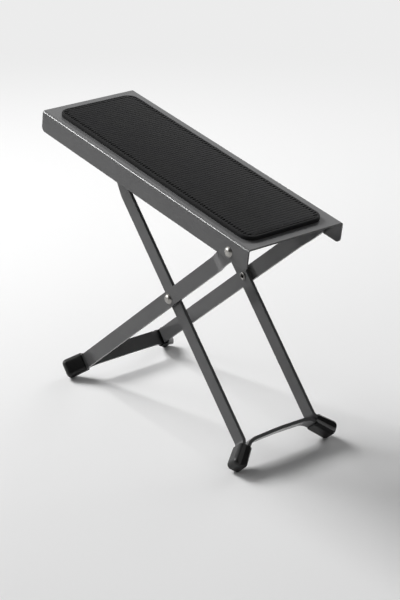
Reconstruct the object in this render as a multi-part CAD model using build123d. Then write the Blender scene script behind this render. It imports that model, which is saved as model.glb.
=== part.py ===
from build123d import *
from math import acos, atan2, cos, degrees, hypot, radians, sin, tan
import os

# Folding guitar footrest: a channel of bent sheet steel with a glued rubber mat on top, carried by
# two frames of flat bar that cross like scissors. The outer frame turns on two rivets near the
# right end of the plate. The inner frame holds a rod that is set under a notch of two toothed
# racks, and the notch chosen sets the height. All sizes are in millimetres.
# The drawing frame of every function has its origin on the upper pivot's axis, in the middle of
# the plate's width. There +X runs along the plate to its right end, +Y to its far side and +Z out
# of its top. Leg pieces are drawn in a frame at the crossing, with +X down the leg.

# Plate
plate_length = 300.0
plate_width = 104.0
plate_sheet = 1.5
flange_depth = 20.0
bend_radius = 2.4
flange_corner = 4.5
pivot_from_end = 24.0
pivot_depth = 13.1

# Rubber mat, glued a little nearer than the middle of the plate
mat_thickness = 3.6
mat_left_margin = 11.6
mat_right_margin = 10.5
mat_near_margin = 7.6
mat_far_margin = 11.4
mat_corner = 11.0
mat_edge = 1.7

# Flat bar of both frames
bar_width = 14.0
bar_thick = 3.0
side_gap = 4.2
frame_gap = 1.8
pivot_gap = 0.9

# Legs: the outer one from pivot to crossing to kink, the inner one from rod to crossing to kink.
# Each is joggled above the crossing: the outer one out to the flange, the inner one in to the rod
outer_upper_length = 117.0
outer_lower_length = 167.5
inner_upper_length = 135.0
inner_lower_length = 141.5
inner_joggle = 2.8
inner_joggle_below_rod = 13.0
inner_joggle_run = 18.0
outer_joggle_below_pivot = 19.0
outer_joggle_run = 12.0
joggle_radius = 12.0

# Bent ends of the frames, where the bar turns out to a hairpin and back into the cross member
foot_out = 10.5
foot_down_length = 14.0
hairpin_radius = 2.75
kink_radius = 5.0
cross_drop = 1.2
cross_radius = 14.0
cross_bow = 1.0
cross_bow_radius = 300.0

# Rubber feet over the hairpins
boot_wall = 2.7
boot_side_wall = 2.8
boot_sole = 2.9
boot_taper = 2.0
boot_corner = 5.2
boot_round = 4.7
boot_outer_length = 13.5
boot_inner_length = 14.6
boot_lip_round = 1.2
boot_groove_depth = 1.5
boot_groove_width = 10.0
boot_fit = 0.1
floor_flat = 0.4

# Lock rod and racks
rod_radius = 3.0
rod_span = 182.0
rod_below_pivot = 1.05
rod_tenon_radius = 2.3
rod_head_radius = 4.0
rod_head_height = 1.5
rod_washer_thick = 0.8
rod_washer_radius = 5.2
rod_clearance = 0.3
notch_count = 5
notch_pitch = 14.0
notch_width = 7.0
notch_depth = 5.4
tooth_round = 1.2
rack_sheet = 2.0
rack_offset = 29.0
rack_foot_width = 12.0
rack_end_margin = 8.0

# Rivets and washers
rivet_radius = 2.5
rivet_head_radius = 4.7
rivet_head_height = 2.3
rivet_dome_angle = 45.0
rivet_dome_share = 0.74
rivet_roll_radius = 4.0
rivet_roll_height = 1.2
rivet_bore_radius = 1.6
rivet_bore_depth = 4.0
washer_radius = 6.0
fixed_fit = 0.03
running_fit = 0.07
face_gap = 0.1

# A fillet that should meet its twin in a full round stops just short of it, by this share
full_round_share = 0.97

# Overrun of cutting tools past the faces that they cut, and rounds of the search for the tilt
overrun = 2.0
tilt_steps = 12

# Worked out from the values above
plate_half = plate_width / 2
flange_inside = plate_half - plate_sheet
plate_under = pivot_depth - plate_sheet
mat_middle = pivot_from_end - (plate_length + mat_right_margin - mat_left_margin) / 2
mat_across = (mat_near_margin - mat_far_margin) / 2
outer_centre = flange_inside - side_gap - bar_thick / 2
inner_centre = outer_centre - bar_thick - frame_gap
inner_top_centre = inner_centre - inner_joggle
outer_top_centre = flange_inside - pivot_gap - bar_thick / 2
boot_half_thick = hairpin_radius + bar_thick / 2 + boot_wall
boot_half_width = bar_width / 2 + boot_side_wall
boot_end = hairpin_radius + bar_thick / 2 + boot_sole
rod_tip = -rod_below_pivot + rod_radius + rod_clearance

# The triangle of pivot, crossing and rod gives each leg's angle below the plate
pivot_to_rod = hypot(rod_span, rod_below_pivot)
rod_angle = atan2(rod_below_pivot, rod_span)


def corner_angle(side_a, side_b, opposite):
    """Angle between two sides of a triangle, in radians."""
    return acos((side_a**2 + side_b**2 - opposite**2) / (2 * side_a * side_b))


outer_angle = corner_angle(outer_upper_length, pivot_to_rod, inner_upper_length) + rod_angle
inner_angle = corner_angle(inner_upper_length, pivot_to_rod, outer_upper_length) - rod_angle
crossing = Vector(-outer_upper_length * cos(outer_angle), 0, -outer_upper_length * sin(outer_angle))
outer_down = Vector(-cos(outer_angle), 0, -sin(outer_angle))
inner_down = Vector(cos(inner_angle), 0, -sin(inner_angle))


def leg_place(down):
    """Frame at the crossing with +X down the leg and +Y to the far side."""
    return Plane(origin=crossing, x_dir=down, z_dir=down.cross(Vector(0, 1, 0))).location


def turn_y(solid, outward):
    """Place a piece drawn along +Z so that its +Z points to the far (+1) or near (-1) side."""
    return Rotation(-90 * outward, 0, 0) * solid


def run_direction():
    """Direction of the hairpin's runs in the leg frame, and the inward normal beside it."""
    reach = hypot(foot_down_length, foot_out)
    angle = atan2(foot_out, foot_down_length) + corner_angle(
        reach, (reach**2 - hairpin_radius**2) ** 0.5, hairpin_radius
    )
    along = Vector(cos(angle), sin(angle), 0)
    inward = Vector(sin(angle), -cos(angle), 0)
    return along, inward


def foot_points(kink, centre):
    """Corners and radii of the bar's centre line from the kink to the cross member's middle."""
    along, inward = run_direction()
    bottom = Vector(kink + foot_down_length, centre + foot_out, 0)
    outer_corner = bottom - inward * hairpin_radius + along * hairpin_radius
    inner_corner = bottom + inward * hairpin_radius + along * hairpin_radius
    climb = (inner_corner.X - kink - cross_drop) / along.X
    cross_corner = inner_corner - along * climb
    middle = Vector(cross_corner.X - cross_bow, 0, 0)
    turn = hairpin_radius * full_round_share
    points = [Vector(kink, centre, 0), outer_corner, inner_corner, cross_corner, middle]
    return points, [kink_radius, turn, turn, cross_radius, cross_bow_radius]


def bent_bar(top_points, top_radii, kink, centre):
    """Flat bar bent from one leg's top, round both feet, to the other leg's top."""
    points, radii = foot_points(kink, centre)
    points = top_points + points
    radii = top_radii + radii
    near = [Vector(p.X, -p.Y, 0) for p in points[:-1]]
    path = FilletPolyline(*near, *reversed(points), radius=radii + radii[-2::-1])
    section = Plane(origin=path @ 0, x_dir=(0, 0, 1), z_dir=path % 0) * Rectangle(bar_width, bar_thick)
    return sweep(section, path=path)


def bar_end(x, centre):
    """Rounded ends of both legs, about their holes."""
    disc = Rotation(90, 0, 0) * Cylinder(bar_width / 2, bar_thick)
    return [Pos(x, side * centre, 0) * disc for side in (-1, 1)]


def cross_hole(x, radius):
    """Drill through both legs, along Y."""
    return Pos(x, 0, 0) * Rotation(90, 0, 0) * Cylinder(radius, plate_width)


def make_top_plate():
    """Channel of bent sheet with open ends, rounded flange corners and two pivot holes."""
    middle = pivot_from_end - plate_length / 2
    outside = Pos(middle, 0, pivot_depth - flange_depth / 2) * Box(plate_length, plate_width, flange_depth)
    long_top = outside.edges().filter_by(Axis.X).group_by(Axis.Z)[-1]
    outside = fillet(long_top, bend_radius)
    inside_height = flange_depth - plate_sheet + overrun
    inside = Pos(middle, 0, plate_under - inside_height / 2) * Box(
        plate_length + 2 * overrun, 2 * flange_inside, inside_height
    )
    inner_top = inside.edges().filter_by(Axis.X).group_by(Axis.Z)[-1]
    inside = fillet(inner_top, bend_radius - plate_sheet)
    plate = outside - inside
    lower = plate.edges().filter_by(Axis.Y).group_by(Axis.Z)[0]
    plate = fillet(lower, flange_corner)
    drill = Rotation(90, 0, 0) * Cylinder(rivet_radius + fixed_fit, plate_width + 2 * overrun)
    return plate - drill


def make_mat():
    """Rubber mat glued to the plate, with rounded corners and a softened upper edge."""
    length = plate_length - mat_left_margin - mat_right_margin
    width = plate_width - mat_near_margin - mat_far_margin
    outline = Rectangle(length, width)
    outline = fillet(outline.vertices(), mat_corner)
    mat = extrude(outline, mat_thickness)
    mat = fillet(mat.faces().sort_by(Axis.Z)[-1].edges(), mat_edge)
    return Pos(mat_middle, mat_across, pivot_depth) * mat


def make_rack(side):
    """Angle of steel sheet under the plate, its web cut with a row of notches for the rod."""
    first = -rod_span
    last = first - (notch_count - 1) * notch_pitch
    right = first + notch_width / 2 + rack_end_margin
    left = last - notch_width / 2 - rack_end_margin
    length = right - left
    web_height = plate_under - rod_tip
    web = Box(length, rack_sheet, web_height, align=(Align.MIN, Align.MIN, Align.MAX))
    foot = Box(length, rack_foot_width, rack_sheet, align=(Align.MIN, Align.MAX, Align.MAX))
    rack = Pos(left, rack_offset, plate_under) * (web + Pos(0, rack_sheet, 0) * foot)
    slot_length = notch_depth + overrun
    slot = Box(notch_width, rack_sheet + 2 * overrun, slot_length, align=(Align.CENTER, Align.CENTER, Align.MIN))
    slot = fillet(slot.edges().filter_by(Axis.Y).group_by(Axis.Z)[-1], notch_width / 2 * full_round_share)
    for number in range(notch_count):
        x = first - number * notch_pitch
        rack -= Pos(x, rack_offset + rack_sheet / 2, rod_tip - overrun) * slot
    tips = rack.edges().filter_by(Axis.Y).group_by(Axis.Z)[0]
    rack = fillet(tips, tooth_round)
    return rack if side > 0 else mirror(rack, Plane.XZ)


def make_rivet(grip):
    """Semi-tubular rivet along +Z: domed head above zero, rolled hollow end below its grip."""
    end = -grip
    roll_middle = (rivet_roll_radius + rivet_bore_radius) / 2
    dome = ThreePointArc(
        (0, rivet_head_height),
        (rivet_head_radius * sin(radians(rivet_dome_angle)), rivet_head_height * rivet_dome_share),
        (rivet_head_radius, 0),
    )
    shank = Polyline((rivet_head_radius, 0), (rivet_radius, 0), (rivet_radius, end), (rivet_roll_radius, end))
    roll = ThreePointArc(
        (rivet_roll_radius, end), (roll_middle, end - rivet_roll_height), (rivet_bore_radius, end)
    )
    bore_top = end + rivet_bore_depth
    bore = Polyline((rivet_bore_radius, end), (rivet_bore_radius, bore_top), (0, bore_top), (0, rivet_head_height))
    outline = Plane.XZ * make_face([dome, shank, roll, bore])
    return revolve(outline, Axis.Z)


def make_ring(outer, inner, thick):
    """Washer from zero up along +Z."""
    return extrude(Circle(outer) - Circle(inner), thick)


def make_pivot_rivet(side):
    """Rivet of the upper pivot: head on the flange, rolled end inside the outer frame."""
    grip = plate_sheet + pivot_gap + bar_thick + face_gap
    return Pos(0, side * plate_half, 0) * turn_y(make_rivet(grip), side)


def make_pivot_washer(side):
    """Washer between the flange and the outer frame, resting on the flange."""
    washer = make_ring(washer_radius, rivet_radius + fixed_fit, pivot_gap - face_gap)
    return Pos(0, side * (flange_inside - pivot_gap + face_gap), 0) * turn_y(washer, side)


def make_crossing_rivet(side):
    """Rivet of the crossing: head on the outer frame, rolled end inside the inner frame."""
    grip = 2 * bar_thick + frame_gap + face_gap
    rivet = Pos(0, side * (outer_centre + bar_thick / 2), 0) * turn_y(make_rivet(grip), side)
    return leg_place(outer_down) * rivet


def make_crossing_washer(side):
    """Washer between the two frames at the crossing, resting on the outer one."""
    washer = make_ring(washer_radius, rivet_radius + fixed_fit, frame_gap - face_gap)
    start = outer_centre - bar_thick / 2 - frame_gap + face_gap
    return leg_place(outer_down) * Pos(0, side * start, 0) * turn_y(washer, side)


def make_outer_frame():
    """Outer frame: legs joggled outward at the top and riveted to the plate, feet at the lower left."""
    joggle_top = outer_joggle_below_pivot - outer_upper_length
    top = [
        Vector(-outer_upper_length, outer_top_centre, 0),
        Vector(joggle_top, outer_top_centre, 0),
        Vector(joggle_top + outer_joggle_run, outer_centre, 0),
    ]
    frame = bent_bar(top, [joggle_radius, joggle_radius], outer_lower_length, outer_centre)
    for end in bar_end(-outer_upper_length, outer_top_centre):
        frame += end
    frame -= cross_hole(-outer_upper_length, rivet_radius + running_fit)
    frame -= cross_hole(0, rivet_radius + fixed_fit)
    return leg_place(outer_down) * frame


def make_inner_frame():
    """Inner frame: legs joggled inward at the top for the rod, feet at the lower right."""
    joggle_top = inner_joggle_below_rod - inner_upper_length
    top = [
        Vector(-inner_upper_length, inner_top_centre, 0),
        Vector(joggle_top, inner_top_centre, 0),
        Vector(joggle_top + inner_joggle_run, inner_centre, 0),
    ]
    frame = bent_bar(top, [joggle_radius, joggle_radius], inner_lower_length, inner_centre)
    for end in bar_end(-inner_upper_length, inner_top_centre):
        frame += end
    frame -= cross_hole(-inner_upper_length, rod_tenon_radius + fixed_fit)
    frame -= cross_hole(0, rivet_radius + running_fit)
    return leg_place(inner_down) * frame


def make_lock_rod():
    """Round rod between the inner frame's tops, its tenons peened over washers."""
    shoulder = inner_top_centre - bar_thick / 2
    tenon_end = inner_top_centre + bar_thick / 2 + rod_washer_thick
    rod = Rotation(90, 0, 0) * Cylinder(rod_radius, 2 * shoulder)
    rod += Rotation(90, 0, 0) * Cylinder(rod_tenon_radius, 2 * tenon_end)
    head = Cylinder(rod_head_radius, rod_head_height, align=(Align.CENTER, Align.CENTER, Align.MIN))
    head = fillet(head.edges().group_by(Axis.Z)[-1], rod_head_height * full_round_share)
    for side in (-1, 1):
        rod += Pos(0, side * tenon_end, 0) * turn_y(head, side)
    return leg_place(inner_down) * Pos(-inner_upper_length, 0, 0) * rod


def make_rod_washer(side):
    """Washer under the peened end of the rod."""
    washer = make_ring(rod_washer_radius, rod_tenon_radius + fixed_fit, rod_washer_thick)
    start = inner_top_centre + bar_thick / 2
    return leg_place(inner_down) * Pos(-inner_upper_length, side * start, 0) * turn_y(washer, side)


def stadium_block(bottom, half_thick, half_width, reach):
    """Stadium-ended block about a hairpin, up to a reach above the middle of its bend."""
    along, inward = run_direction()
    top = bottom - along * reach
    outline = make_face([
        Line(top - inward * half_thick, bottom - inward * half_thick),
        ThreePointArc(
            bottom - inward * half_thick, bottom + along * half_thick, bottom + inward * half_thick
        ),
        Line(bottom + inward * half_thick, top + inward * half_thick),
        Line(top + inward * half_thick, top - inward * half_thick),
    ])
    return extrude(outline, half_width, both=True)


def mouth_cut(bottom):
    """Block above the slanted mouth of a boot, whose inner side reaches further up."""
    along, inward = run_direction()
    outer = bottom - along * boot_outer_length - inward * boot_half_thick
    inner = bottom - along * boot_inner_length + inward * boot_half_thick
    slant = (inner - outer).normalized()
    size = boot_half_width * 4
    above = Box(size, size, size, align=(Align.CENTER, Align.CENTER, Align.MIN))
    return Plane(origin=(outer + inner) / 2, x_dir=slant, z_dir=slant.cross(Vector(0, 0, 1))).location * above


def side_groove(bottom):
    """Shallow groove down the middle of one side of a boot, running out over its rounded sole."""
    along, inward = run_direction()
    mouth_half_width = boot_half_width - (boot_end + boot_outer_length) * tan(radians(boot_taper))
    depth = Vector(0, 0, mouth_half_width - boot_groove_depth)
    outline = Polygon(
        (0, 0), (boot_groove_width, 2 * boot_groove_depth), (-boot_groove_width, 2 * boot_groove_depth), align=None
    )
    start = Plane(origin=bottom + along * boot_end + depth, x_dir=inward, z_dir=-along)
    return extrude(start * outline, boot_end + boot_inner_length + overrun)


def make_boot(kink, centre, down, side):
    """Rubber boot over one hairpin: slanted mouth, grooved sides and a rounded, thick sole."""
    along, inward = run_direction()
    bottom = Vector(kink + foot_down_length, centre + foot_out, 0)
    outline = Rectangle(2 * boot_half_thick, 2 * boot_half_width)
    outline = fillet(outline.vertices(), boot_corner)
    sole = Plane(origin=bottom + along * boot_end, x_dir=inward, z_dir=-along)
    block = extrude(sole * outline, boot_end + boot_inner_length + overrun, taper=boot_taper)
    block = fillet(block.faces().sort_by(Axis(bottom, along))[-1].edges(), boot_round)
    block -= mouth_cut(bottom)
    mouth = block.faces().filter_by(GeomType.PLANE).sort_by(Axis(bottom, along))[0]
    block = fillet(mouth.edges(), boot_lip_round)
    groove = side_groove(bottom)
    block = block - groove - mirror(groove, Plane.XY)
    cavity_half = hairpin_radius + bar_thick / 2 + boot_fit
    boot = block - stadium_block(bottom, cavity_half, bar_width / 2 + boot_fit, boot_inner_length + boot_end)
    boot = boot if side > 0 else mirror(boot, Plane.XZ)
    return leg_place(down) * boot


def sole_height(kink, down, tilt):
    """How far a boot's sole lies below the pivot when the plate tilts by this angle."""
    along, inward = run_direction()
    bottom = crossing + down * (kink + foot_down_length)
    drop = bottom.X * sin(tilt) - bottom.Z * cos(tilt)
    lean = down.X * sin(tilt) - down.Z * cos(tilt)
    across = (1 - lean**2) ** 0.5
    slope = radians(boot_taper)
    core_round = boot_corner - boot_round * (tan(slope) + 1 / cos(slope))
    core = (boot_half_thick - boot_corner) * lean * inward.X + (boot_half_width - boot_corner) * across
    core += core_round * hypot(lean * inward.X, across)
    return drop + (boot_end - boot_round) * lean * along.X + core + boot_round


def floor_tilt():
    """Angle at which both frames' boots stand on one floor, the right end lower."""
    tilt = 0.0
    feet_apart = (inner_down * inner_lower_length - outer_down * outer_lower_length).X
    for _ in range(tilt_steps):
        outer_height = sole_height(outer_lower_length, outer_down, tilt)
        inner_height = sole_height(inner_lower_length, inner_down, tilt)
        tilt += (outer_height - inner_height) / feet_apart
    return tilt


def make_parts():
    """All pieces by name, in the drawing frame."""
    parts = {
        "top_plate": make_top_plate(),
        "rubber_mat": make_mat(),
        "outer_frame": make_outer_frame(),
        "inner_frame": make_inner_frame(),
        "lock_rod": make_lock_rod(),
    }
    for name, side in (("near", -1), ("far", 1)):
        parts[f"height_rack_{name}"] = make_rack(side)
        parts[f"pivot_rivet_{name}"] = make_pivot_rivet(side)
        parts[f"pivot_washer_{name}"] = make_pivot_washer(side)
        parts[f"crossing_rivet_{name}"] = make_crossing_rivet(side)
        parts[f"crossing_washer_{name}"] = make_crossing_washer(side)
        parts[f"rod_washer_{name}"] = make_rod_washer(side)
        parts[f"outer_foot_{name}"] = make_boot(outer_lower_length, outer_centre, outer_down, side)
        parts[f"inner_foot_{name}"] = make_boot(inner_lower_length, inner_centre, inner_down, side)
    return parts


def stand_on_floor(parts):
    """Tilt the footrest to the floor, flatten its soles and centre it over the origin."""
    tilt = floor_tilt()
    height = sole_height(outer_lower_length, outer_down, tilt) - floor_flat
    place = Pos(0, 0, height) * Rotation(0, degrees(tilt), 0)
    placed = {name: place * part for name, part in parts.items()}
    box = Compound(children=[Compound(part.wrapped) for part in placed.values()]).bounding_box()
    shift = Pos(-box.center().X, 0, 0)
    below = Box(plate_length * 2, plate_width * 2, plate_width, align=(Align.CENTER, Align.CENTER, Align.MAX))
    for name, part in placed.items():
        part = shift * part
        placed[name] = part - below if "foot" in name else part
    return placed, shift * place, tilt


def report(name, point):
    """Print a point of the standing footrest, in millimetres."""
    print(name, [round(value, 3) for value in point])


os.makedirs("parts", exist_ok=True)
parts, place, tilt = stand_on_floor(make_parts())
for name, part in parts.items():
    part.label = name
    export_step(part, f"parts/{name}.step")

print("outer leg below plate", round(degrees(outer_angle), 3), "inner leg", round(degrees(inner_angle), 3))
print("plate tilt", round(degrees(tilt), 3))
report("pivot", (place * Pos(0, 0, 0)).position)
report("crossing", (place * Pos(crossing)).position)
report("rod", (place * Pos(crossing - inner_down * inner_upper_length)).position)
report("mat top", (place * Pos(mat_middle, mat_across, pivot_depth + mat_thickness)).position)
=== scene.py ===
from math import cos, radians, sin, sqrt

import bmesh
import bpy
from mathutils import Matrix, Vector


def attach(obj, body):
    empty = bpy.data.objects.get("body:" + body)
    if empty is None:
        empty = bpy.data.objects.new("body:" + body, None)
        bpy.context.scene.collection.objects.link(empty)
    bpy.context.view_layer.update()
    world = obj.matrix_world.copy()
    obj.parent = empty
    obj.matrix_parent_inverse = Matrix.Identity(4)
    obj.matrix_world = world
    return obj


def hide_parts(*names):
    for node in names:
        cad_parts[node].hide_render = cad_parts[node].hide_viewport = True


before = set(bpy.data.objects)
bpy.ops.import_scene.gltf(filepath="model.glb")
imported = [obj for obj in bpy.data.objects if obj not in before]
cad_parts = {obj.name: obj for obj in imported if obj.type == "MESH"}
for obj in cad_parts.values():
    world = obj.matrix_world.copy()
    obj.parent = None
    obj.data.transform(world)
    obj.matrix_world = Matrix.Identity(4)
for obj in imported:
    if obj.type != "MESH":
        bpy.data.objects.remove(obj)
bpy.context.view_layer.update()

# Folding guitar footrest: finishes for its CAD pieces, its ribbed mat, and a plain studio.
# Sizes are in metres. It stands on the floor at zero, its plate tilted down to the right, and
# the mat's top is given by its middle.
PLATE_TILT = radians(8.55)
MAT_TOP = Vector((0.002256, -0.0019, 0.235525))

# The mat's slab. Its top lies a hair under the CAD mat's, so that it stays inside the CAD's box.
MAT_LENGTH = 0.2779
MAT_WIDTH = 0.0850
MAT_THICK = 0.0036
MAT_DROP = 0.0001
MAT_CORNER = 0.011
MAT_CORNER_STEPS = 12
MAT_EDGE = 0.0011
MAT_EDGE_STEPS = 4

# The mat's tread. Inside a smooth rim, a deep channel surrounds a plateau. Ribs lie across both,
# so that they leave open pockets along the rim and fine grooves over the plateau. The ribs' ends
# keep a small gap to the rim, and the rim's wall leans into a quarter of it. The ribs and the
# plateau are rooted below the channel's floor.
RIM_WIDTH = 0.0012
RIM_GAP = 0.0002
RIM_SLOPE = RIM_GAP / 4
CHANNEL_DEPTH = 0.0022
ROOT_DEPTH = CHANNEL_DEPTH * 1.5
POCKET_LENGTH = 0.0032
GROOVE_DEPTH = 0.00014
RIB_COUNT = 80
RIB_SHARE = 0.55
RIB_ROUND = 0.0003
RIB_ROUND_STEPS = 2
RIB_END_ROUND = 0.0003
RIB_END_STEPS = 3

# Faces that meet at less than this are shaded as one smooth surface
SMOOTH_ANGLE = radians(35.0)

# Axes of the rivets and of the rod, where their turned marks are centred
PIVOT = Vector((0.123829, 0.0, 0.200361))
CROSSING = Vector((0.033699, 0.0, 0.125759))
ROD = Vector((-0.056304, 0.0, 0.226379))

# How far the rivets' rolled ends lie from the middle, at most, and how softly their look starts
ROLLED_REACH = 0.0395
ROLLED_BLEND = 0.0003

# Height above the floor up to which the boots are scuffed
SCUFFED_HEIGHT = 0.006

# Where shoes rest on the mat: how quickly it ends along X, Y and Z, and where the shine fades out
TREAD_SCALE = (9.0, 26.0, 9.0)
TREAD_FADE = 0.2, 1.3

# Colours: the two tones of a finish's cloudy patches, and then its marked and rubbed places
PAINT_TONES = (0.144, 0.144, 0.146), (0.160, 0.160, 0.162)
PAINT_SCUFFED = (0.24, 0.24, 0.24)
PAINT_RUBBED = (0.26, 0.26, 0.26)
MAT_TONES = (0.021, 0.021, 0.022), (0.028, 0.028, 0.028)
# The mat's rubbed edges are lighter than wear alone would make them: partly a painted highlight
# along its rim
MAT_RUBBED_AND_RIM_HIGHLIGHT = (0.11, 0.11, 0.11)
BOOT_TONES = (0.007, 0.007, 0.007), (0.012, 0.012, 0.012)
BOOT_GREYED = (0.06, 0.058, 0.055)
BOOT_RUBBED = (0.05, 0.05, 0.05)
NICKEL_TONES = (0.32, 0.31, 0.295), (0.40, 0.39, 0.37)
NICKEL_ROLLED = (0.17, 0.165, 0.16)
NICKEL_RUBBED = (0.60, 0.59, 0.57)
ZINC_TONES = (0.46, 0.47, 0.50), (0.56, 0.54, 0.49)
ZINC_RUBBED = (0.68, 0.68, 0.68)

# How much finer the second size of grain is than the first
FINER_GRAIN = 4.3

# Where noise turns from none to full: in cloudy patches, along worn edges and in scratches
PATCH_NOISE = 0.3, 0.7
WORN_NOISE = 0.42, 0.62
SCRATCH_NOISE = 0.68, 0.76

# How far a rounded edge's normal turns from the flat one, as cosines, from no wear to full wear
EDGE_TURN = 0.995, 0.8

# The two ways that scratches run: the turn in radians, and how many times longer than wide.
# They tilt about Y by a share of the turn.
SCRATCH_WAYS = (0.5, 14.0), (-0.9, 18.0)
SCRATCH_TILT = 0.7

# The floor: how far it reaches from its middle, its colour as it is seen and as it lights the
# footrest, and the glow that takes its place far away
FLOOR_REACH = 6.0
FLOOR_SEEN = (0.8, 0.8, 0.8)
FLOOR_LIGHTING = (0.3, 0.3, 0.3)
FLOOR_GLOW = (0.84, 0.84, 0.84, 1)
GLOW_DISTANCE = 0.3, 1.2

# The surroundings: even light on the footrest, and where and how far its reflections go dark
WORLD_FILL = 0.17
DARK_SIDE = (0.86, -0.45, 0.25)
DARK_TURN = 0.0, 0.3
DARK_LEVEL = 0.05
WHITE = (1, 1, 1, 1)

# The way the bend along the plate's near edge mirrors a straight line, for the lamp that draws it
BEND_LINE = (0.93, -0.35, 0.07)
UP = (0, 0, 1)

# The photograph's camera
CAMERA_PLACE = Vector((1.249993, -0.971714, 0.786726))
CAMERA_VIEW = Vector((-0.72006, 0.56883, -0.39742))
CAMERA_RIGHT = Vector((0.61948, 0.78501, 0.00121))
CAMERA_LENS = 113.808
CAMERA_SENSOR = 36.0


# Pieces

def put_piece(name, builder, material, body):
    """Object from a bmesh that is already in its place, riding on a body."""
    bmesh.ops.recalc_face_normals(builder, faces=builder.faces)
    mesh = bpy.data.meshes.new(name)
    builder.to_mesh(mesh)
    builder.free()
    mesh.materials.append(material)
    mesh.shade_smooth()
    mesh.set_sharp_from_angle(angle=SMOOTH_ANGLE)
    piece = bpy.data.objects.new(name, mesh)
    bpy.context.collection.objects.link(piece)
    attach(piece, body)
    return piece


def bevel(builder, geom, offset, segments, affect="EDGES"):
    """Round some edges or corners."""
    return bmesh.ops.bevel(
        builder, geom=geom, offset=offset, offset_type="OFFSET", segments=segments,
        profile=0.5, material=-1, affect=affect, clamp_overlap=True,
    )


def plate_place(point):
    """Matrix that puts a piece drawn flat about zero at a point, tilted as the plate is."""
    return Matrix.Translation(point) @ Matrix.Rotation(PLATE_TILT, 4, "Y")


def outline_half(x, length, width, corner):
    """Half the width of a rounded rectangle at a distance along it."""
    past = abs(x) - (length / 2 - corner)
    if past <= 0:
        return width / 2
    return width / 2 - corner + sqrt(max(corner**2 - past**2, 0.0))


def build_slab(builder, length, width, corner, low, high):
    """Flat slab with rounded corners between two heights. Gives the edges of its top."""
    made = bmesh.ops.create_grid(builder, x_segments=1, y_segments=1, size=0.5)["verts"]
    bmesh.ops.scale(builder, vec=(length, width, 1), verts=made)
    bmesh.ops.translate(builder, vec=(0, 0, low), verts=made)
    rounded = bevel(builder, made, corner, MAT_CORNER_STEPS, affect="VERTICES")
    face = rounded["verts"][0].link_faces[0]
    raised = bmesh.ops.extrude_face_region(builder, geom=[face])["geom"]
    lifted = [item for item in raised if isinstance(item, bmesh.types.BMVert)]
    bmesh.ops.translate(builder, vec=(0, 0, high - low), verts=lifted)
    top = [item for item in raised if isinstance(item, bmesh.types.BMFace)][0]
    return list(top.edges)


def build_mat_slab(builder):
    """The mat's slab, rounded along its top, its channel sunk inside the rim, and the plateau."""
    top = MAT_THICK - MAT_DROP
    edges = build_slab(builder, MAT_LENGTH, MAT_WIDTH, MAT_CORNER, 0.0, top)
    bevel(builder, edges, MAT_EDGE, MAT_EDGE_STEPS)
    bmesh.ops.recalc_face_normals(builder, faces=builder.faces)
    many_sided = [face for face in builder.faces if len(face.verts) > 4]
    field = max(many_sided, key=lambda face: face.calc_center_median().z)
    bmesh.ops.inset_region(builder, faces=[field], thickness=RIM_WIDTH, depth=0.0)
    bmesh.ops.inset_region(builder, faces=[field], thickness=RIM_SLOPE, depth=-CHANNEL_DEPTH)
    border = 2 * (MAT_EDGE + RIM_WIDTH + RIM_GAP + POCKET_LENGTH)
    build_slab(
        builder, MAT_LENGTH - border, MAT_WIDTH - border, MAT_CORNER - border / 2,
        top - ROOT_DEPTH, top - GROOVE_DEPTH,
    )


def build_mat_ribs(builder):
    """Ribs across the mat, each cut to the rim's outline and rounded along its top and ends."""
    border = MAT_EDGE + RIM_WIDTH + RIM_GAP
    length, width = MAT_LENGTH - 2 * border, MAT_WIDTH - 2 * border
    pitch = length / RIB_COUNT
    top = MAT_THICK - MAT_DROP
    foot = top - ROOT_DEPTH
    ribs = bmesh.new()
    for number in range(RIB_COUNT):
        middle = (number + 0.5) * pitch - length / 2
        rib = bmesh.ops.create_cube(ribs, size=1.0)["verts"]
        bmesh.ops.scale(ribs, vec=(pitch * RIB_SHARE, 1, top - foot), verts=rib)
        bmesh.ops.translate(ribs, vec=(middle, 0, (top + foot) / 2), verts=rib)
        for vert in rib:
            reach = outline_half(vert.co.x, length, width, MAT_CORNER - border)
            vert.co.y = reach if vert.co.y > 0 else -reach
    uprights = [
        edge for edge in ribs.edges
        if abs(edge.verts[0].co.z - edge.verts[1].co.z) > CHANNEL_DEPTH
    ]
    bevel(ribs, uprights, RIB_END_ROUND, RIB_END_STEPS)
    middle_height = (top + foot) / 2
    crest = [edge for edge in ribs.edges if min(vert.co.z for vert in edge.verts) > middle_height]
    bevel(ribs, crest, RIB_ROUND, RIB_ROUND_STEPS)
    mesh = bpy.data.meshes.new("mat_ribs")
    ribs.to_mesh(mesh)
    ribs.free()
    builder.from_mesh(mesh)
    bpy.data.meshes.remove(mesh)


def make_mat(material):
    """The ribbed rubber mat, glued to the plate."""
    builder = bmesh.new()
    build_mat_slab(builder)
    build_mat_ribs(builder)
    normal = Vector((sin(PLATE_TILT), 0, cos(PLATE_TILT)))
    builder.transform(plate_place(MAT_TOP - normal * MAT_THICK))
    mat = put_piece("ribbed_mat", builder, material, "plate")
    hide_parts("rubber_mat")


# Shader groups: each gives only heights and masks

def new_group(name, inputs, outputs):
    """Empty node group with its sockets, each input given as label and value."""
    group = bpy.data.node_groups.new(name, "ShaderNodeTree")
    for label, value in inputs:
        kind = "NodeSocketVector" if value is None else "NodeSocketFloat"
        socket = group.interface.new_socket(label, in_out="INPUT", socket_type=kind)
        if value is not None:
            socket.default_value = value
    for label in outputs:
        group.interface.new_socket(label, in_out="OUTPUT", socket_type="NodeSocketFloat")
    return group, group.nodes.new("NodeGroupInput"), group.nodes.new("NodeGroupOutput")


def add(tree, kind, inputs=(), **settings):
    """Node with its settings, and its inputs given by name or number as a value or an output."""
    node = tree.nodes.new(kind)
    for key, value in settings.items():
        setattr(node, key, value)
    for key, value in dict(inputs).items():
        if isinstance(value, bpy.types.NodeSocket):
            tree.links.new(value, node.inputs[key])
        else:
            node.inputs[key].default_value = value
    return node


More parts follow.
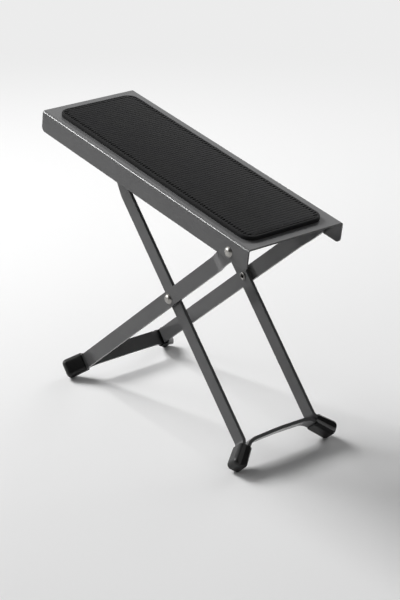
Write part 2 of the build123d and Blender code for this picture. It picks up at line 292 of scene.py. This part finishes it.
def add_math(tree, operation, first, second=0.5, clamp=False):
    """Result of one sum on two values or outputs."""
    inputs = {0: first, 1: second}
    return add(tree, "ShaderNodeMath", inputs, operation=operation, use_clamp=clamp).outputs[0]


def add_range(tree, value, low, high, to_low=0.0, to_high=1.0):
    """Value taken from one range to another, with soft ends."""
    node = add(tree, "ShaderNodeMapRange", {
        "Value": value, "From Min": low, "From Max": high, "To Min": to_low, "To Max": to_high,
    }, interpolation_type="SMOOTHSTEP")
    return node.outputs["Result"]


def make_grain():
    """Fine relief of two sizes of grain, and broad cloudy patches for colour and gloss."""
    group, start, end = new_group("grain", [
        ("Position", None), ("Grain Scale", 900.0), ("Fine Share", 0.4), ("Patch Scale", 25.0),
    ], ["Height", "Patches"])
    place, coarse = start.outputs["Position"], start.outputs["Grain Scale"]
    peel = add(group, "ShaderNodeTexNoise", {"Vector": place, "Scale": coarse, "Detail": 1.0})
    fine_scale = add_math(group, "MULTIPLY", coarse, FINER_GRAIN)
    fine = add(group, "ShaderNodeTexNoise", {"Vector": place, "Scale": fine_scale, "Detail": 2.0})
    fine_height = add_math(group, "MULTIPLY", fine.outputs["Fac"], start.outputs["Fine Share"])
    height = add_math(group, "ADD", peel.outputs["Fac"], fine_height)
    broad = add(group, "ShaderNodeTexNoise", {
        "Vector": place, "Scale": start.outputs["Patch Scale"], "Detail": 4.0, "Roughness": 0.6,
    })
    patches = add_range(group, broad.outputs["Fac"], *PATCH_NOISE)
    group.links.new(height, end.inputs["Height"])
    group.links.new(patches, end.inputs["Patches"])
    return group


def make_edge_wear():
    """Mask of the rubbed edges: strongest on sharp edges, broken up by noise."""
    group, start, end = new_group("edge_wear", [
        ("Position", None), ("Radius", 0.0006), ("Break Up", 180.0),
    ], ["Mask"])
    rounded = add(group, "ShaderNodeBevel", {"Radius": start.outputs["Radius"]}, samples=4)
    flat = add(group, "ShaderNodeNewGeometry")
    facing = add(group, "ShaderNodeVectorMath", {
        0: rounded.outputs["Normal"], 1: flat.outputs["Normal"],
    }, operation="DOT_PRODUCT")
    edge = add_range(group, facing.outputs["Value"], *EDGE_TURN)
    broken = add(group, "ShaderNodeTexNoise", {
        "Vector": start.outputs["Position"], "Scale": start.outputs["Break Up"],
        "Detail": 5.0, "Roughness": 0.7,
    })
    patches = add_range(group, broken.outputs["Fac"], *WORN_NOISE)
    mask = add_math(group, "MULTIPLY", edge, patches)
    group.links.new(mask, end.inputs["Mask"])
    return group


def make_scuffs():
    """Mask of faint, long, crossing scratches."""
    group, start, end = new_group("scuffs", [("Position", None), ("Scale", 60.0)], ["Mask"])
    total = None
    for turn, squeeze in SCRATCH_WAYS:
        lines = add(group, "ShaderNodeMapping", {
            "Vector": start.outputs["Position"],
            "Rotation": (turn, turn * SCRATCH_TILT, turn), "Scale": (1, squeeze, squeeze),
        })
        streak = add(group, "ShaderNodeTexNoise", {
            "Vector": lines.outputs["Vector"], "Scale": start.outputs["Scale"], "Detail": 2.0,
        })
        mask = add_range(group, streak.outputs["Fac"], *SCRATCH_NOISE)
        total = mask if total is None else add_math(group, "MAXIMUM", total, mask)
    group.links.new(total, end.inputs["Mask"])
    return group


def make_turned_rings():
    """Height of fine rings about the Y axis, as a header or a lathe leaves them."""
    group, start, end = new_group("turned_rings", [
        ("Position", None), ("Rings", 2600.0),
    ], ["Height"])
    flat = add(group, "ShaderNodeVectorMath", {
        0: start.outputs["Position"], 1: (1, 0, 1),
    }, operation="MULTIPLY")
    reach = add(group, "ShaderNodeVectorMath", {0: flat.outputs["Vector"]}, operation="LENGTH")
    count = add_math(group, "MULTIPLY", reach.outputs["Value"], start.outputs["Rings"])
    rings = add(group, "ShaderNodeTexNoise", {
        "W": count, "Scale": 1.0, "Detail": 2.0,
    }, noise_dimensions="1D")
    group.links.new(rings.outputs["Fac"], end.inputs["Height"])
    return group


GRAIN = make_grain()
EDGE_WEAR = make_edge_wear()
SCUFFS = make_scuffs()
TURNED_RINGS = make_turned_rings()


# Materials

def new_material(name, metallic=0.0, specular=0.5, coat=0.0, coat_roughness=0.1):
    """Material with its shader, and the piece's own coordinates."""
    material = bpy.data.materials.new(name)
    material.use_nodes = True
    tree = material.node_tree
    shader = tree.nodes["Principled BSDF"]
    shader.inputs["Metallic"].default_value = metallic
    shader.inputs["Specular IOR Level"].default_value = specular
    shader.inputs["Coat Weight"].default_value = coat
    shader.inputs["Coat Roughness"].default_value = coat_roughness
    place = add(tree, "ShaderNodeTexCoord").outputs["Object"]
    return material, tree, shader, place


def use_grain(tree, place, scale, fine_share, patch_scale):
    """Height of the grain, and its cloudy patches."""
    grain = add(tree, "ShaderNodeGroup", {
        "Position": place, "Grain Scale": scale,
        "Fine Share": fine_share, "Patch Scale": patch_scale,
    }, node_tree=GRAIN)
    return grain.outputs["Height"], grain.outputs["Patches"]


def use_edge_wear(tree, place, radius, break_up):
    """Mask of the rubbed edges."""
    return add(tree, "ShaderNodeGroup", {
        "Position": place, "Radius": radius, "Break Up": break_up,
    }, node_tree=EDGE_WEAR).outputs["Mask"]


def use_scuffs(tree, place, scale):
    """Mask of the scratches."""
    return add(tree, "ShaderNodeGroup", {
        "Position": place, "Scale": scale,
    }, node_tree=SCUFFS).outputs["Mask"]


def use_turned_rings(tree, place, axis_place, rings):
    """Height of the rings that are turned about an axis."""
    centred = add(tree, "ShaderNodeMapping", {"Vector": place, "Location": tuple(-axis_place)})
    return add(tree, "ShaderNodeGroup", {
        "Position": centred.outputs["Vector"], "Rings": rings,
    }, node_tree=TURNED_RINGS).outputs["Height"]


def mix_colour(tree, share, first, second):
    """Colour between two colours or outputs."""
    node = tree.nodes.new("ShaderNodeMix")
    node.data_type = "RGBA"
    for key, value in (("Factor", share), ("A", first), ("B", second)):
        socket = [entry for entry in node.inputs if entry.name == key and entry.enabled][0]
        if isinstance(value, bpy.types.NodeSocket):
            tree.links.new(value, socket)
        else:
            socket.default_value = value if key == "Factor" else (*value, 1)
    return [entry for entry in node.outputs if entry.enabled][0]


def lay_over(tree, under, colour, mask, strength):
    """Colour laid over another where a mask is."""
    return mix_colour(tree, add_math(tree, "MULTIPLY", mask, strength), under, colour)


def cloudy_roughness(tree, patches, low, high):
    """Roughness that follows the cloudy patches between two values."""
    return add_range(tree, patches, 0.0, 1.0, low, high)


def add_share(tree, value, mask, share, clamp=False):
    """Value with a share of a mask added to it."""
    return add_math(tree, "ADD", value, add_math(tree, "MULTIPLY", mask, share), clamp=clamp)


def add_bump(tree, shader, height, strength, distance, normal=None):
    """Relief on the shader's normal."""
    inputs = {"Height": height, "Strength": strength, "Distance": distance}
    if normal is not None:
        inputs["Normal"] = normal
    bump = add(tree, "ShaderNodeBump", inputs)
    tree.links.new(bump.outputs["Normal"], shader.inputs["Normal"])


def make_powder_coat():
    """Satin dark grey powder coat: orange peel, cloudy gloss, rubbed edges and a few scuffs."""
    material, tree, shader, place = new_material(
        "grey_powder_coat", specular=0.0, coat=0.7, coat_roughness=0.15
    )
    peel, patches = use_grain(tree, place, scale=750.0, fine_share=0.35, patch_scale=22.0)
    worn = use_edge_wear(tree, place, radius=0.0006, break_up=160.0)
    scuffs = use_scuffs(tree, place, scale=28.0)
    cloudy = mix_colour(tree, patches, *PAINT_TONES)
    scuffed = lay_over(tree, cloudy, PAINT_SCUFFED, scuffs, strength=0.16)
    rubbed = lay_over(tree, scuffed, PAINT_RUBBED, worn, strength=0.5)
    tree.links.new(rubbed, shader.inputs["Base Color"])
    satin = cloudy_roughness(tree, patches, low=0.42, high=0.52)
    rough = add_share(tree, satin, scuffs, share=0.08)
    tree.links.new(rough, shader.inputs["Roughness"])
    soft = add(tree, "ShaderNodeBevel", {"Radius": 0.0004}, samples=4).outputs["Normal"]
    add_bump(tree, shader, peel, strength=0.2, distance=0.00008, normal=soft)
    return material


def make_mat_rubber():
    """Matt black rubber: fine grain, dust in patches, rubbed edges and a painted rim highlight, a
    smoother shine where shoes rest.
    """
    material, tree, shader, place = new_material("ribbed_mat_rubber", specular=0.12)
    height, patches = use_grain(tree, place, scale=1500.0, fine_share=0.5, patch_scale=30.0)
    worn = use_edge_wear(tree, place, radius=0.0004, break_up=120.0)
    dusty = mix_colour(tree, patches, *MAT_TONES)
    # Rubbed edges laid over strongly and light: partly wear, partly a painted highlight along the
    # rim
    rubbed = lay_over(tree, dusty, MAT_RUBBED_AND_RIM_HIGHLIGHT, worn, strength=0.8)
    tree.links.new(rubbed, shader.inputs["Base Color"])
    tread = add(tree, "ShaderNodeMapping", {
        "Vector": place, "Location": tuple(-MAT_TOP), "Scale": TREAD_SCALE,
    }, vector_type="POINT").outputs["Vector"]
    middle = add(tree, "ShaderNodeVectorMath", {0: tread}, operation="LENGTH").outputs["Value"]
    shine = add_range(tree, middle, *TREAD_FADE, to_low=0.58, to_high=0.72)
    rough = add_share(tree, shine, patches, share=0.08)
    tree.links.new(rough, shader.inputs["Roughness"])
    add_bump(tree, shader, height, strength=0.35, distance=0.0001)
    return material


def make_boot_rubber():
    """Satin black moulded rubber, greyed and duller where it meets the floor."""
    material, tree, shader, place = new_material("boot_rubber", specular=0.35)
    height, patches = use_grain(tree, place, scale=1300.0, fine_share=0.6, patch_scale=70.0)
    worn = use_edge_wear(tree, place, radius=0.0005, break_up=240.0)
    level = add(tree, "ShaderNodeSeparateXYZ", {"Vector": place}).outputs["Z"]
    low = add_range(tree, level, SCUFFED_HEIGHT, 0.0)
    scuffed = add_math(tree, "MULTIPLY", low, patches)
    black = mix_colour(tree, patches, *BOOT_TONES)
    greyed = lay_over(tree, black, BOOT_GREYED, scuffed, strength=0.6)
    rubbed = lay_over(tree, greyed, BOOT_RUBBED, worn, strength=0.35)
    tree.links.new(rubbed, shader.inputs["Base Color"])
    satin = cloudy_roughness(tree, patches, low=0.34, high=0.46)
    rough = add_share(tree, satin, scuffed, share=0.3, clamp=True)
    tree.links.new(rough, shader.inputs["Roughness"])
    add_bump(tree, shader, height, strength=0.25, distance=0.0001)
    return material


def make_rivet_steel(name, axis_place):
    """Nickel-plated steel with turned rings about the rivet's axis, duller at its rolled end."""
    material, tree, shader, place = new_material(name, metallic=1.0)
    rings = use_turned_rings(tree, place, axis_place, rings=3200.0)
    patches = use_grain(tree, place, scale=1800.0, fine_share=0.5, patch_scale=260.0)[1]
    worn = use_edge_wear(tree, place, radius=0.0004, break_up=400.0)
    side = add(tree, "ShaderNodeSeparateXYZ", {"Vector": place}).outputs["Y"]
    outward = add_math(tree, "ABSOLUTE", side)
    rolled = add_range(tree, outward, ROLLED_REACH + ROLLED_BLEND, ROLLED_REACH)
    headed = mix_colour(tree, patches, *NICKEL_TONES)
    plated = mix_colour(tree, rolled, headed, NICKEL_ROLLED)
    bright = lay_over(tree, plated, NICKEL_RUBBED, worn, strength=0.5)
    tree.links.new(bright, shader.inputs["Base Color"])
    gloss = cloudy_roughness(tree, patches, low=0.26, high=0.36)
    ringed = add_share(tree, gloss, rings, share=0.08)
    rough = add_share(tree, ringed, rolled, share=0.12)
    tree.links.new(rough, shader.inputs["Roughness"])
    add_bump(tree, shader, rings, strength=0.12, distance=0.00004)
    return material


def make_zinc_steel(name, axis_place):
    """Zinc-plated steel, cloudy with a faint warm and cool tint."""
    material, tree, shader, place = new_material(name, metallic=1.0)
    rings = use_turned_rings(tree, place, axis_place, rings=2200.0)
    height, patches = use_grain(tree, place, scale=1500.0, fine_share=0.6, patch_scale=130.0)
    tint = mix_colour(tree, patches, *ZINC_TONES)
    worn = use_edge_wear(tree, place, radius=0.0004, break_up=300.0)
    bright = lay_over(tree, tint, ZINC_RUBBED, worn, strength=0.4)
    tree.links.new(bright, shader.inputs["Base Color"])
    gloss = cloudy_roughness(tree, patches, low=0.28, high=0.42)
    tree.links.new(gloss, shader.inputs["Roughness"])
    both = add_math(tree, "ADD", rings, height)
    add_bump(tree, shader, both, strength=0.15, distance=0.00005)
    return material


def give_materials():
    """Put each CAD node's material in its slots: boots are rubber, pins metal, the rest painted."""
    paint = make_powder_coat()
    boots = make_boot_rubber()
    finishes = {
        "pivot_rivet": make_rivet_steel("pivot_rivet_steel", PIVOT),
        "crossing_rivet": make_rivet_steel("crossing_rivet_steel", CROSSING),
        "pivot_washer": make_zinc_steel("pivot_washer_zinc", PIVOT),
        "crossing_washer": make_zinc_steel("crossing_washer_zinc", CROSSING),
        "rod_washer": make_zinc_steel("rod_zinc", ROD),
    }
    finishes["lock_rod"] = finishes["rod_washer"]
    for name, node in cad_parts.items():
        finish = boots if "foot" in name else paint
        for start, material in finishes.items():
            if name.startswith(start):
                finish = material
        for place in node.material_slots:
            place.material = finish


# Stage: floor, lamps, surroundings and camera

def ray_is(tree, *kinds):
    """One for rays of these kinds, zero for the others."""
    path = add(tree, "ShaderNodeLightPath").outputs
    found = path[f"Is {kinds[0]} Ray"]
    for kind in kinds[1:]:
        found = add_math(tree, "MAXIMUM", found, path[f"Is {kind} Ray"])
    return found


def make_floor_material():
    """Matt pale floor, darker in the light that it throws back, with a faint glow far away."""
    material = bpy.data.materials.new("pale_floor")
    material.use_nodes = True
    tree = material.node_tree
    shader = tree.nodes["Principled BSDF"]
    shader.inputs["Roughness"].default_value = 0.9
    shader.inputs["Specular IOR Level"].default_value = 0.1
    seen = ray_is(tree, "Camera", "Glossy", "Transmission")
    pale = mix_colour(tree, seen, FLOOR_LIGHTING, FLOOR_SEEN)
    tree.links.new(pale, shader.inputs["Base Color"])
    place = add(tree, "ShaderNodeTexCoord").outputs["Object"]
    reach = add(tree, "ShaderNodeVectorMath", {0: place}, operation="LENGTH").outputs["Value"]
    far = add_math(tree, "MULTIPLY", seen, add_range(tree, reach, *GLOW_DISTANCE))
    glow = add(tree, "ShaderNodeEmission", {"Color": FLOOR_GLOW}).outputs["Emission"]
    surface = add(tree, "ShaderNodeMixShader", {0: far, 1: shader.outputs["BSDF"], 2: glow})
    tree.links.new(surface.outputs["Shader"], tree.nodes["Material Output"].inputs["Surface"])
    return material


def add_floor(material):
    """Flat square floor at zero."""
    builder = bmesh.new()
    bmesh.ops.create_grid(builder, x_segments=1, y_segments=1, size=FLOOR_REACH)
    mesh = bpy.data.meshes.new("floor")
    builder.to_mesh(mesh)
    builder.free()
    mesh.materials.append(material)
    floor = bpy.data.objects.new("floor", mesh)
    bpy.context.collection.objects.link(floor)


def add_lamp(name, place, target, length, width, power, along=UP):
    """Soft rectangular lamp aimed at a point, its length lying in a direction."""
    light = bpy.data.lights.new(name, "AREA")
    light.shape = "RECTANGLE"
    light.size = length
    light.size_y = width
    light.energy = power
    lamp = bpy.data.objects.new(name, light)
    bpy.context.collection.objects.link(lamp)
    back = (Vector(place) - Vector(target)).normalized()
    side = (Vector(along) - back * back.dot(Vector(along))).normalized()
    turn = Matrix((side, back.cross(side), back)).transposed()
    lamp.matrix_world = Matrix.Translation(place) @ turn.to_4x4()
    return lamp


def add_lamps():
    """Softboxes left, beside and behind, and the strip that the plate's bend mirrors."""
    add_lamp(
        "left_softbox", place=(-2.47, -2.11, 1.72), target=(0, 0, 0.2),
        length=1.2, width=1.2, power=18,
    )
    side = add_lamp(
        "side_softbox", place=(-2.62, -0.42, 2.02), target=(0, 0, 0.2),
        length=1.3, width=1.3, power=135,
    )
    side.visible_glossy = False
    strip = add_lamp(
        "edge_strip", place=(-1.99, -2.00, 1.36), target=(0, 0, 0.24),
        length=0.76, width=1.10, power=53, along=BEND_LINE,
    )
    strip.visible_diffuse = False
    add_lamp(
        "back_softbox", place=(-0.9, 2.7, 1.1), target=(0, 0, 0.15),
        length=1.5, width=1.5, power=25,
    )


def add_world():
    """White surroundings: a low even light, and reflections that go dark at one side."""
    world = bpy.data.worlds.new("studio")
    world.use_nodes = True
    bpy.context.scene.world = world
    tree = world.node_tree
    tree.nodes.clear()
    mirrored = ray_is(tree, "Glossy", "Transmission")
    way = add(tree, "ShaderNodeTexCoord").outputs["Generated"]
    side = add(tree, "ShaderNodeVectorMath", {0: way, 1: DARK_SIDE}, operation="DOT_PRODUCT")
    lit = add_range(tree, side.outputs["Value"], *DARK_TURN, to_low=1.0, to_high=DARK_LEVEL)
    reflected = add_math(tree, "MULTIPLY", mirrored, lit)
    lighting = add_math(tree, "MULTIPLY", add_math(tree, "SUBTRACT", 1.0, mirrored), WORLD_FILL)
    level = add_math(tree, "ADD", reflected, lighting)
    strength = add_math(tree, "MAXIMUM", ray_is(tree, "Camera"), level)
    white = add(tree, "ShaderNodeBackground", {"Color": WHITE, "Strength": strength})
    add(tree, "ShaderNodeOutputWorld", {"Surface": white.outputs[0]})


def add_camera():
    """Camera at the photograph's viewing angle."""
    data = bpy.data.cameras.new("photo_camera")
    data.lens = CAMERA_LENS
    data.sensor_width = CAMERA_SENSOR
    data.clip_start = 0.05
    data.clip_end = 50.0
    camera = bpy.data.objects.new("photo_camera", data)
    bpy.context.collection.objects.link(camera)
    back = -CAMERA_VIEW.normalized()
    right = (CAMERA_RIGHT - back * CAMERA_RIGHT.dot(back)).normalized()
    turn = Matrix((right, back.cross(right), back)).transposed()
    camera.matrix_world = Matrix.Translation(CAMERA_PLACE) @ turn.to_4x4()
    bpy.context.scene.camera = camera


give_materials()
make_mat(make_mat_rubber())

add_floor(make_floor_material())
add_lamps()
add_world()
add_camera()
bpy.context.scene.view_settings.view_transform = "Standard"
